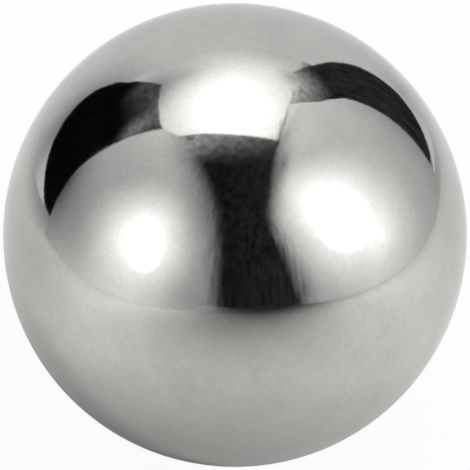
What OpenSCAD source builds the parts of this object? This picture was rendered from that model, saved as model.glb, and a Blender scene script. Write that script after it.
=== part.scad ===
// Whiskey stone: a ball of mirror-polished stainless steel.
// It is chilled in a freezer and then laid in a glass, in place of ice.
// The shell is sealed for good, so the ball is one solid.
// Millimetres. The origin is the ball's centre and +Z is up.

/* [Ball] */
// Diameter over the polished surface
ball_d = 55; // [25:0.5:60]

/* [Hidden] */
// Preview facets round the ball
$fn = 128;

// The whole stone is a true sphere, with no seam, flat or hole.
module ball() {
    color("silver") sphere(d = ball_d);
}

ball();
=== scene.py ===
"""Whiskey stone: the polished finish of the steel ball, with a light tent and camera around it."""

import math
from collections import namedtuple

import bmesh
import bpy
from mathutils import Matrix, Vector, noise


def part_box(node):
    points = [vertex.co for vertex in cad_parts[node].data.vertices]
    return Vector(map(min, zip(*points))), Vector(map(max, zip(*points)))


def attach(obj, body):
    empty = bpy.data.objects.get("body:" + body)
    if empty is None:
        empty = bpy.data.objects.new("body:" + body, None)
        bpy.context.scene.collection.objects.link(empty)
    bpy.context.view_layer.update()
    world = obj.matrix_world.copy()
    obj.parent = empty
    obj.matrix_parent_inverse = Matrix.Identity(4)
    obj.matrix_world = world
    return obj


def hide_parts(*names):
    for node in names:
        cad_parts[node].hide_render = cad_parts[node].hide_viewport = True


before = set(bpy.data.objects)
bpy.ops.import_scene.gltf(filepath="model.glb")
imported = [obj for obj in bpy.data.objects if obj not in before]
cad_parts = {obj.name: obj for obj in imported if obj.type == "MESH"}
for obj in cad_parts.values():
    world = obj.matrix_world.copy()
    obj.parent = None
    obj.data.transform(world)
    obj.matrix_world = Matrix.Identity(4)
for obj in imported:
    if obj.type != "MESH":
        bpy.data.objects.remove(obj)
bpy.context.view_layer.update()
BALL_LOW, BALL_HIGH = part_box("ball")
RADIUS = (BALL_HIGH.z - BALL_LOW.z) / 2

bl_info = {
    "name": "Whiskey Stone",
    "version": (1, 0, 0),
    "blender": (4, 5, 0),
    "location": "3D View > Sidebar > Whiskey Stone",
    "description": "Makes a mirror-polished steel ball and the light tent that it stands in",
    "category": "Object",
}

# Half widths of the picture and of the ball in it, in the photograph's pixels.
PICTURE_HALF_WIDTH = 235.0
BALL_HALF_WIDTH = 231.9

# Plain colours, with their alpha.
BLACK = (0.0, 0.0, 0.0, 1.0)
WHITE = (1.0, 1.0, 1.0, 1.0)

# The middle of a noise pattern, and the span that holds nearly all of it.
NOISE_MIDDLE = 0.5
NOISE_SPAN = (0.3, 0.7)

# Icosphere steps: each makes four triangles of one, and 7 give about 82,000.
BALL_STEPS = 7
# Weight of the fine grain beside the clouds in the steel's colour and gloss.
GRAIN_SHARE = 0.6
# The grain is drawn out along the height of the ball, so it varies less that way.
GRAIN_DRAW = 0.8
# Roughness of the polish, from the most clouded steel to the barest.
POLISH_ROUGHNESS = (0.03, 0.08)

# A patch of light on a sheet, brightest at its centre and gone at its reach.
# A level below 0 dims the sheet.
Glow = namedtuple("Glow", "centre reach level tilt", defaults=(0.0,))
# A soft edge of a sheet, by the sum of its X and Y times two weights.
# The sheet is clear at one sum and whole at the other.
Fade = namedtuple("Fade", "x y clear whole")
# A sheet of the tent: its outline, its plain light at the foot and at the height, and what varies over it.
# Cover is how far it hides what lies behind, and mottle is how uneven its light is.
Sheet = namedtuple("Sheet", "outline foot top height glows fades cover mottle", defaults=((), 1.0, 0.0))
# A patch of painted shade or painted light on the floor, from its level within to 1 outside, over a span
# in shares of its reach.
# A level below 1 is painted shade in the floor's colour and in the white that the ball mirrors, and one
# above 1 is painted light that only mirrors brighter.
PaintedFloorPatch = namedtuple("PaintedFloorPatch", "centre reach level tilt span", defaults=(0.0, (0.0, 1.0)))

# The tent, in ball radii from the ball's centre.
# Upright sheets are turned about the ball from the camera's side.
SIDE_DISTANCE = 7.0
LEFT_TURN = -58.0
RIGHT_TURN = 78.0
BACK_DISTANCE = 11.0
BACK_TURN = 180.0
TOP_HEIGHT = 12.0
CANOPY_HEIGHT = 12.3
# The middle of the left sheet's foot, on the floor.
LEFT_FOOT = (
    SIDE_DISTANCE * math.sin(math.radians(LEFT_TURN)),
    -SIDE_DISTANCE * math.cos(math.radians(LEFT_TURN)))

LEFT_SHEET = Sheet(
    outline=(
        (6.5, -1.05), (6.3, 3.5), (5.5, 7), (4.5, 12), (3.6, 15.2), (2.0, 16.2), (-3, 17),
        (-8, 15), (-11, 8), (-11, -1.05)),
    foot=0.42, top=0.8, height=12,
    glows=(
        Glow(centre=(-1.6, 2.5), reach=(5.0, 6.3), level=2.15, tilt=25.0),
        Glow(centre=(-1.7, 2.45), reach=(1.45, 1.8), level=36.0),
        Glow(centre=(2.0, -1.2), reach=(10, 3.0), level=0.36),
        Glow(centre=(6.8, 2.4), reach=(4.8, 6.0), level=-0.5),
        Glow(centre=(-3.0, -1.1), reach=(6.5, 1.3), level=0.15)),
    fades=(
        Fade(x=1.0, y=0.0, clear=-9.4, whole=-6.0),
        Fade(x=1.0, y=-1.0, clear=-19.2, whole=-7.6)))

RIGHT_SHEET = Sheet(
    outline=(
        (-7.4, -0.985), (10, -0.985), (13.5, 11), (8.5, 15.5), (5.2, 17.2), (2.6, 17.6), (-2.5, 18.7),
        (-5.0, 19.6), (-5.8, 12.3), (-7.3, 8.7)),
    foot=0.6, top=0.95, height=15,
    glows=(
        Glow(centre=(3.1, 4.4), reach=(5.6, 10.0), level=2.2, tilt=-34.0),
        Glow(centre=(2.9, 3.8), reach=(2.1, 3.0), level=40.0, tilt=-36.0),
        Glow(centre=(0.6, 1.2), reach=(2.0, 1.6), level=0.5),
        Glow(centre=(-8.5, 3.0), reach=(6.5, 11), level=-0.42),
        Glow(centre=(4.8, 13.5), reach=(4.5, 3.5), level=-0.55),
        Glow(centre=(1.0, 16.0), reach=(7.0, 5.0), level=-0.25)),
    fades=(
        Fade(x=1.0, y=-0.42, clear=9.0, whole=5.2),
        Fade(x=1.0, y=1.05, clear=24.8, whole=15.5)))

TOP_SHEET = Sheet(
    outline=(
        (-5.3, -1.9), (0, -2.6), (4.4, -2.8), (5.0, 0), (6.0, 3), (6.3, 5), (4.9, 7), (6.0, 9), (7.2, 11),
        (-10.6, 11), (-6.5, 6), (-7.0, 3.5), (-7.1, 0.5), (-6.9, -0.4)),
    foot=0.72, top=0.72, height=1,
    glows=(
        Glow(centre=(-0.2, 0.5), reach=(11.5, 12.5), level=2.0),
        Glow(centre=(-8, 5), reach=(6.0, 5.5), level=-0.8),
        Glow(centre=(-4, 6), reach=(5.0, 4.0), level=-0.3),
        Glow(centre=(5.0, 6.0), reach=(2.2, 2.6), level=-0.45)),
    fades=(Fade(x=1.0, y=-0.2, clear=5.3, whole=3.7),))

# The canopy is a thin veil over the top sheet: it adds its light and hides nothing.
CANOPY_SHEET = Sheet(
    outline=(
        (-7, -9), (4.7, -9), (4.7, -2.5), (4.9, 1.8), (7.0, 3.3), (9.0, 5.0), (12, 12), (-16, 12),
        (-16, 0.8), (-8, -0.5)),
    foot=0.0, top=0.0, height=1,
    glows=(
        Glow(centre=(-0.8, 1.0), reach=(9.3, 7.8), level=1.05),
        Glow(centre=(-3.6, -3.2), reach=(3.2, 3.0), level=0.3),
        Glow(centre=(4.3, 5.3), reach=(6.5, 6.5), level=0.9),
        Glow(centre=(-6.5, 4.5), reach=(7.5, 7.5), level=0.13),
        Glow(centre=(-10.8, 1.7), reach=(6.0, 2.4), level=0.3),
        Glow(centre=(-9.0, 8.0), reach=(5.0, 3.5), level=0.08)),
    cover=0.0, mottle=0.55)

BACK_SHEET = Sheet(
    outline=(
        (16, -1), (11.3, 0), (9.7, 0.5), (8.7, 1), (7.9, 1.6), (7.3, 3), (6.95, 4.5), (6.9, 8), (7.3, 12),
        (-10.8, 12), (-10.2, 9), (-10.25, 6), (-10.6, 5), (-11.2, 4), (-12.4, 3), (-14.5, 2), (-18, 1.2),
        (-30, -1)),
    foot=0.72, top=0.78, height=12,
    glows=(
        Glow(centre=(-12.5, 6), reach=(8.5, 16), level=-0.7),
        Glow(centre=(7.0, 0.5), reach=(5.0, 4.0), level=-0.2)))

# Creases of the cloth, in ball radii, and how much slower they vary up the cloth than across it.
CREASE_WIDTH = 0.4
CREASE_DEPTH = 2.6
CREASE_DRAW = 0.15
# Uneven patches in the canopy's light, in ball radii.
MOTTLE_SIZE = 0.7

# The dark room, in ball radii: its light from left to right, and faint upright streaks in it.
ROOM_RADIUS = 80.0
ROOM_STEPS = 4
ROOM_SPAN = (-40.0, 60.0)
ROOM_LIGHT = (0.003, 0.03)
STREAK_WIDTH = 3.0
STREAK_DRAW = 0.15
STREAK_LIGHT = (0.3, 1.7)

# The floor, in ball radii: half its width and depth, and how far back its middle lies.
FLOOR_HALF_SIZE = (36.0, 18.0)
FLOOR_SET_BACK = 4.0
# Painted shade: the floor's colour darkens towards the open front of the tent, inside an ellipse that
# reaches far out.
# It has painted shade before the ball, to its left and behind it on the right, and painted light along the
# left sheet.
PAINTED_FLOOR_PATCHES = (
    PaintedFloorPatch(centre=(10.5, -39.6), reach=(9.0, 38.0), level=0.05, tilt=15.0, span=(0.8, 1.19)),
    PaintedFloorPatch(centre=(-1.2, -4.9), reach=(5.0, 4.2), level=0.68),
    PaintedFloorPatch(centre=(-3.8, 0.6), reach=(3.8, 2.6), level=0.78),
    PaintedFloorPatch(centre=(3.2, 1.9), reach=(3.2, 2.4), level=0.86),
    PaintedFloorPatch(centre=LEFT_FOOT, reach=(12.0, 1.0), level=1.3, tilt=LEFT_TURN),
)
# Round its foot the ball has painted shade: the matt floor's colour goes down to this level, and the white
# that the ball mirrors goes down to nothing.
FOOT_SHADE = PaintedFloorPatch(centre=(-0.35, 0.2), reach=(1.9, 2.5), level=0.0, span=(0.1, 1.0))
FOOT_SHADE_LEVEL = 0.68


def radii(*lengths):
    """Lengths given in ball radii, in metres."""
    return tuple(length * RADIUS for length in lengths)


class SteelBallSettings(bpy.types.PropertyGroup):
    """Size and finish of the ball."""

    diameter: bpy.props.FloatProperty(
        name="Diameter", description="Diameter over the polished surface",
        default=2 * RADIUS, min=0.025, max=0.06, unit="LENGTH")
    waviness: bpy.props.FloatProperty(
        name="Waviness", description="How far the polish leaves the surface from a true sphere",
        default=3e-6, min=0.0, max=2e-5, precision=7, unit="LENGTH")
    wave_length: bpy.props.FloatProperty(
        name="Wave length", description="Distance from one soft wave of the surface to the next",
        default=0.007, min=0.001, max=0.05, unit="LENGTH")
    cloud_size: bpy.props.FloatProperty(
        name="Cloud size", description="Distance across a faint cloud in the polish",
        default=0.006, min=0.001, max=0.05, unit="LENGTH")
    grain_size: bpy.props.FloatProperty(
        name="Grain size", description="Distance across a speck of the fine grain",
        default=0.0005, min=0.0001, max=0.005, unit="LENGTH")
    grain_depth: bpy.props.FloatProperty(
        name="Grain depth", description="How deep the fine grain is in the polish",
        default=1.5e-6, min=0.0, max=1e-5, precision=7, unit="LENGTH")
    steel: bpy.props.FloatVectorProperty(
        name="Steel", description="Colour of the bare polished steel",
        default=(0.635, 0.625, 0.602), size=3, min=0.0, max=1.0, subtype="COLOR")
    clouded_steel: bpy.props.FloatVectorProperty(
        name="Clouded steel", description="Colour where the polish has a faint cloud",
        default=(0.555, 0.547, 0.534), size=3, min=0.0, max=1.0, subtype="COLOR")


class LightTentSettings(bpy.types.PropertyGroup):
    """The tent's floor and the camera."""

    floor: bpy.props.FloatVectorProperty(
        name="Floor", description="Colour of the pale floor",
        default=(0.87, 0.87, 0.86), size=3, min=0.0, max=1.0, subtype="COLOR")
    white_share: bpy.props.FloatProperty(
        name="White share", description="How far the camera sees the floor as plain white",
        default=0.95, min=0.0, max=1.0, subtype="FACTOR")
    mirrored_share: bpy.props.FloatProperty(
        name="Mirrored share", description="How far the polished steel mirrors the floor as plain white",
        default=0.3, min=0.0, max=1.0, subtype="FACTOR")
    camera_height: bpy.props.FloatProperty(
        name="Camera height", description="Angle of the camera above the horizon",
        default=math.radians(30), min=0.0, max=math.radians(90), subtype="ANGLE")
    camera_distance: bpy.props.FloatProperty(
        name="Camera distance", description="Distance from the camera to the ball's centre",
        default=16 * RADIUS, min=0.1, max=5.0, unit="LENGTH")


def new_material(name):
    """An empty node material, with its node tree and its output node."""
    material = bpy.data.materials.new(name)
    material.use_nodes = True
    tree = material.node_tree
    tree.nodes.clear()
    return material, tree, tree.nodes.new("ShaderNodeOutputMaterial")


def calc(tree, operation, *terms):
    """A Math node on sockets and numbers."""
    node = tree.nodes.new("ShaderNodeMath")
    node.operation = operation
    for socket, term in zip(node.inputs, terms):
        if isinstance(term, bpy.types.NodeSocket):
            tree.links.new(term, socket)
        else:
            socket.default_value = term
    return node.outputs["Value"]


def remap(tree, value, span, onto=(0.0, 1.0), soft=False):
    """A Map Range node that takes one span onto another."""
    node = tree.nodes.new("ShaderNodeMapRange")
    node.interpolation_type = "SMOOTHSTEP" if soft else "LINEAR"
    for name, number in zip(("From Min", "From Max", "To Min", "To Max"), (*span, *onto)):
        node.inputs[name].default_value = number
    tree.links.new(value, node.inputs["Value"])
    return node.outputs["Result"]


def object_place(tree):
    """Object coordinates, whole and as X, Y and Z."""
    place = tree.nodes.new("ShaderNodeTexCoord").outputs["Object"]
    parts = tree.nodes.new("ShaderNodeSeparateXYZ")
    tree.links.new(place, parts.inputs["Vector"])
    return place, parts.outputs


def from_centre(tree, place, patch):
    """Coordinates in which a patch's ellipse is a circle of radius 1 about the origin."""
    spot = tree.nodes.new("ShaderNodeMapping")
    spot.vector_type = "TEXTURE"
    spot.inputs["Location"].default_value = (*radii(*patch.centre), 0.0)
    spot.inputs["Rotation"].default_value = (0.0, 0.0, math.radians(patch.tilt))
    spot.inputs["Scale"].default_value = (*radii(*patch.reach), RADIUS)
    tree.links.new(place, spot.inputs["Vector"])
    return spot.outputs["Vector"]


def painted_level(tree, place, patch):
    """The floor's painted shade or painted light over a patch, and 1 around it."""
    distance = tree.nodes.new("ShaderNodeVectorMath")
    distance.operation = "LENGTH"
    tree.links.new(from_centre(tree, place, patch), distance.inputs[0])
    return remap(tree, distance.outputs["Value"], patch.span, (patch.level, 1.0), soft=True)


def pattern(tree, place, size, detail, roughness):
    """Noise with features of about the given size, from 0 to 1."""
    node = tree.nodes.new("ShaderNodeTexNoise")
    node.inputs["Scale"].default_value = 1.0 / size
    node.inputs["Detail"].default_value = detail
    node.inputs["Roughness"].default_value = roughness
    tree.links.new(place, node.inputs["Vector"])
    return node.outputs["Fac"]


def stretched(tree, place, scale, size):
    """Noise that is drawn out along the axes whose scale is below 1."""
    drawn = tree.nodes.new("ShaderNodeMapping")
    drawn.inputs["Scale"].default_value = scale
    tree.links.new(place, drawn.inputs["Vector"])
    return pattern(tree, drawn.outputs["Vector"], size, detail=3.0, roughness=0.65)


def polished_steel(settings):
    """Mirror-polished stainless steel with faint clouds, a soft haze and a fine grain."""
    material, tree, output = new_material("polished_steel")
    make, link = tree.nodes.new, tree.links.new
    shader = make("ShaderNodeBsdfPrincipled")
    shader.inputs["Metallic"].default_value = 1.0
    link(shader.outputs["BSDF"], output.inputs["Surface"])
    place, _ = object_place(tree)

    clouds = pattern(tree, place, settings.cloud_size, detail=5.0, roughness=0.7)
    grain = stretched(tree, place, (1.0, 1.0, GRAIN_DRAW), settings.grain_size)
    mottle = calc(tree, "MULTIPLY_ADD", calc(tree, "SUBTRACT", grain, NOISE_MIDDLE), GRAIN_SHARE, clouds)
    tint = make("ShaderNodeMix")
    tint.data_type = "RGBA"
    tint.inputs["A"].default_value = (*settings.clouded_steel, 1.0)
    tint.inputs["B"].default_value = (*settings.steel, 1.0)
    link(remap(tree, mottle, NOISE_SPAN), tint.inputs["Factor"])
    link(tint.outputs["Result"], shader.inputs["Base Color"])
    link(remap(tree, mottle, NOISE_SPAN, POLISH_ROUGHNESS), shader.inputs["Roughness"])
    bump = make("ShaderNodeBump")
    bump.inputs["Distance"].default_value = settings.grain_depth
    link(grain, bump.inputs["Height"])
    link(bump.outputs["Normal"], shader.inputs["Normal"])
    return material


def creased(tree, place, across):
    """A length across a sheet, moved to and fro by the creases that run up the cloth."""
    creases = stretched(tree, place, (1.0, CREASE_DRAW, 1.0), CREASE_WIDTH * RADIUS)
    swing = calc(tree, "SUBTRACT", creases, NOISE_MIDDLE)
    return calc(tree, "MULTIPLY_ADD", swing, CREASE_DEPTH * RADIUS, across)


def sheet_light(tree, place, up, sheet):
    """The light of a sheet: its plain light, its glows and its uneven patches."""
    light = remap(tree, up, (0.0, sheet.height * RADIUS), (sheet.foot, sheet.top))
    for glow in sheet.glows:
        patch = tree.nodes.new("ShaderNodeTexGradient")
        patch.gradient_type = "QUADRATIC_SPHERE"
        tree.links.new(from_centre(tree, place, glow), patch.inputs["Vector"])
        light = calc(tree, "MULTIPLY_ADD", patch.outputs["Fac"], glow.level, light)
    if sheet.mottle:
        patches = pattern(tree, place, MOTTLE_SIZE * RADIUS, detail=4.0, roughness=0.6)
        uneven = remap(tree, patches, NOISE_SPAN, (1 - sheet.mottle, 1 + sheet.mottle))
        light = calc(tree, "MULTIPLY", light, uneven)
    return light


def lit_cloth(name, sheet):
    """Pale cloth that glows from a lamp behind it. What lies behind shows through past a fade."""
    material, tree, output = new_material(name)
    place, axes = object_place(tree)
    light = sheet_light(tree, place, axes["Y"], sheet)
    cover = sheet.cover
    if sheet.fades:
        across = creased(tree, place, axes["X"])
        for fade in sheet.fades:
            total = calc(tree, "MULTIPLY_ADD", axes["Y"], fade.y, calc(tree, "MULTIPLY", across, fade.x))
            whole = remap(tree, total, radii(fade.clear, fade.whole), soft=True)
            cover = calc(tree, "MULTIPLY", whole, cover)
        light = calc(tree, "MULTIPLY", light, cover)
    emission = tree.nodes.new("ShaderNodeEmission")
    tree.links.new(light, emission.inputs["Strength"])
    beyond = tree.nodes.new("ShaderNodeBsdfTransparent")
    tree.links.new(calc(tree, "SUBTRACT", 1.0, cover), beyond.inputs["Color"])
    both = tree.nodes.new("ShaderNodeAddShader")
    tree.links.new(emission.outputs["Emission"], both.inputs[0])
    tree.links.new(beyond.outputs["BSDF"], both.inputs[1])
    tree.links.new(both.outputs["Shader"], output.inputs["Surface"])
    return material


def pale_floor(settings):
    """A matt floor that shows as nearly white, with the ball's shadow on it, and painted shade and painted
    light in patches over it.
    """
    material, tree, output = new_material("pale_floor")
    make, link = tree.nodes.new, tree.links.new
    place, _ = object_place(tree)
    # Painted shade and painted light from the floor's patches.
    lit = 1.0
    for patch in PAINTED_FLOOR_PATCHES:
        lit = calc(tree, "MULTIPLY", painted_level(tree, place, patch), lit)
    # Painted shade round the ball's foot, in the floor's colour.
    clear = painted_level(tree, place, FOOT_SHADE)
    shade = calc(tree, "MULTIPLY", lit, remap(tree, clear, (0.0, 1.0), (FOOT_SHADE_LEVEL, 1.0)))

    colour = make("ShaderNodeMix")
    colour.data_type = "RGBA"
    colour.inputs["A"].default_value = BLACK
    colour.inputs["B"].default_value = (*settings.floor, 1.0)
    link(shade, colour.inputs["Factor"])
    matt = make("ShaderNodeBsdfDiffuse")
    link(colour.outputs["Result"], matt.inputs["Color"])

    path = make("ShaderNodeLightPath")
    mirrored = calc(tree, "ADD", path.outputs["Is Glossy Ray"], path.outputs["Is Transmission Ray"])
    # The white that the ball mirrors is dimmed by the painted shade and brightened by the painted light.
    for share in (settings.mirrored_share, lit, clear):
        mirrored = calc(tree, "MULTIPLY", mirrored, share)
    white_share = calc(tree, "MULTIPLY_ADD", path.outputs["Is Camera Ray"], settings.white_share, mirrored)
    mix = make("ShaderNodeMixShader")
    link(white_share, mix.inputs["Fac"])
    link(matt.outputs["BSDF"], mix.inputs[1])
    link(make("ShaderNodeEmission").outputs["Emission"], mix.inputs[2])
    link(mix.outputs["Shader"], output.inputs["Surface"])
    return material


def dark_surround():
    """The unlit room around the tent, a little less dark on the right."""
    material, tree, output = new_material("dark_surround")
    place, axes = object_place(tree)
    light = remap(tree, axes["X"], radii(*ROOM_SPAN), ROOM_LIGHT)
    streaks = stretched(tree, place, (1.0, 1.0, STREAK_DRAW), STREAK_WIDTH * RADIUS)
    light = calc(tree, "MULTIPLY", light, remap(tree, streaks, NOISE_SPAN, STREAK_LIGHT))
    emission = tree.nodes.new("ShaderNodeEmission")
    tree.links.new(light, emission.inputs["Strength"])
    tree.links.new(emission.outputs["Emission"], output.inputs["Surface"])
    return material


def mesh_object(name, bm, material):
    """A finished object from a bmesh, at the origin."""
    mesh = bpy.data.meshes.new(name)
    bm.to_mesh(mesh)
    bm.free()
    mesh.materials.append(material)
    made = bpy.data.objects.new(name, mesh)
    bpy.context.scene.collection.objects.link(made)
    return made


def hang(side, sheet, placing):
    """A flat stage sheet with its outline in its own X and Y, which only the ball and the floor see."""
    bm = bmesh.new()
    bm.faces.new([bm.verts.new((*radii(x, y), 0.0)) for x, y in sheet.outline])
    bm.normal_update()
    bmesh.ops.triangulate(bm, faces=bm.faces)
    made = mesh_object(side + "_sheet", bm, lit_cloth(side + "_cloth", sheet))
    made.matrix_world = placing
    made.visible_camera = False


def upright(turn, distance):
    """Where an upright sheet stands: turned about the ball from the camera's side, and facing the ball."""
    turn = math.radians(turn)
    out = Vector((math.sin(turn), -math.cos(turn), 0.0))
    along = Vector((-math.cos(turn), -math.sin(turn), 0.0))
    up = Vector((0.0, 0.0, 1.0))
    return Matrix.Translation(out * distance * RADIUS) @ Matrix((along, up, -out)).transposed().to_4x4()


def level(height):
    """Where a level sheet hangs."""
    return Matrix.Translation((0.0, 0.0, height * RADIUS))


class STONE_OT_ball(bpy.types.Operator):
    """Make the polished ball"""

    bl_idname = "whiskey_stone.ball"
    bl_label = "Steel Ball"

    def execute(self, context):
        settings = context.scene.steel_ball
        bm = bmesh.new()
        bmesh.ops.create_icosphere(bm, subdivisions=BALL_STEPS, radius=settings.diameter / 2)
        for vert in bm.verts:
            wave = noise.noise(vert.co / settings.wave_length)
            vert.co += vert.co.normalized() * wave * settings.waviness
        for face in bm.faces:
            face.smooth = True
        ball = mesh_object("steel_ball", bm, polished_steel(settings))
        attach(ball, "root")
        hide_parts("ball")
        return {"FINISHED"}


class STONE_OT_stage(bpy.types.Operator):
    """Make the light tent, the floor and the camera"""

    bl_idname = "whiskey_stone.stage"
    bl_label = "Light Tent"

    def execute(self, context):
        scene = context.scene
        settings = scene.light_tent
        self.floor_and_surround(settings)
        hang("left", LEFT_SHEET, upright(LEFT_TURN, SIDE_DISTANCE))
        hang("right", RIGHT_SHEET, upright(RIGHT_TURN, SIDE_DISTANCE))
        hang("top", TOP_SHEET, level(TOP_HEIGHT))
        hang("canopy", CANOPY_SHEET, level(CANOPY_HEIGHT))
        hang("back", BACK_SHEET, upright(BACK_TURN, BACK_DISTANCE))
        self.camera(scene, settings)
        scene.view_settings.view_transform = "Standard"
        world = bpy.data.worlds.new("white_background")
        world.use_nodes = True
        world.node_tree.nodes["Background"].inputs["Color"].default_value = WHITE
        scene.world = world
        return {"FINISHED"}

    def floor_and_surround(self, settings):
        set_back = Matrix.Translation((0.0, FLOOR_SET_BACK * RADIUS, 0.0))
        bm = bmesh.new()
        bmesh.ops.create_grid(
            bm, x_segments=1, y_segments=1, size=RADIUS,
            matrix=set_back @ Matrix.Diagonal((*FLOOR_HALF_SIZE, 1.0, 1.0)))
        floor = mesh_object("floor", bm, pale_floor(settings))
        floor.location.z = BALL_LOW.z
        bm = bmesh.new()
        bmesh.ops.create_icosphere(bm, subdivisions=ROOM_STEPS, radius=ROOM_RADIUS * RADIUS)
        surround = mesh_object("dark_surround", bm, dark_surround())
        surround.visible_camera = False

    def camera(self, scene, settings):
        data = bpy.data.cameras.new("camera")
        made = bpy.data.objects.new("camera", data)
        scene.collection.objects.link(made)
        up = settings.camera_height
        back = Vector((0.0, -math.cos(up), math.sin(up)))
        made.location = back * settings.camera_distance
        made.rotation_euler = back.to_track_quat("Z", "Y").to_euler()
        outline = math.tan(math.asin(RADIUS / settings.camera_distance))
        data.lens = data.sensor_width / 2 / (outline * PICTURE_HALF_WIDTH / BALL_HALF_WIDTH)
        scene.camera = made


class STONE_PT_sidebar(bpy.types.Panel):
    """The stone's settings and its two steps"""

    bl_idname = "STONE_PT_sidebar"
    bl_label = "Whiskey Stone"
    bl_space_type = "VIEW_3D"
    bl_region_type = "UI"
    bl_category = "Whiskey Stone"

    def draw(self, context):
        scene = context.scene
        for group, operator in ((scene.steel_ball, STONE_OT_ball), (scene.light_tent, STONE_OT_stage)):
            for name in group.__annotations__:
                self.layout.prop(group, name)
            self.layout.operator(operator.bl_idname)


CLASSES = (SteelBallSettings, LightTentSettings, STONE_OT_ball, STONE_OT_stage, STONE_PT_sidebar)


def register():
    for each in CLASSES:
        bpy.utils.register_class(each)
    bpy.types.Scene.steel_ball = bpy.props.PointerProperty(type=SteelBallSettings)
    bpy.types.Scene.light_tent = bpy.props.PointerProperty(type=LightTentSettings)


def unregister():
    del bpy.types.Scene.light_tent
    del bpy.types.Scene.steel_ball
    for each in reversed(CLASSES):
        bpy.utils.unregister_class(each)


def main():
    register()
    bpy.ops.whiskey_stone.ball()
    bpy.ops.whiskey_stone.stage()


if __name__ == "__main__":
    main()
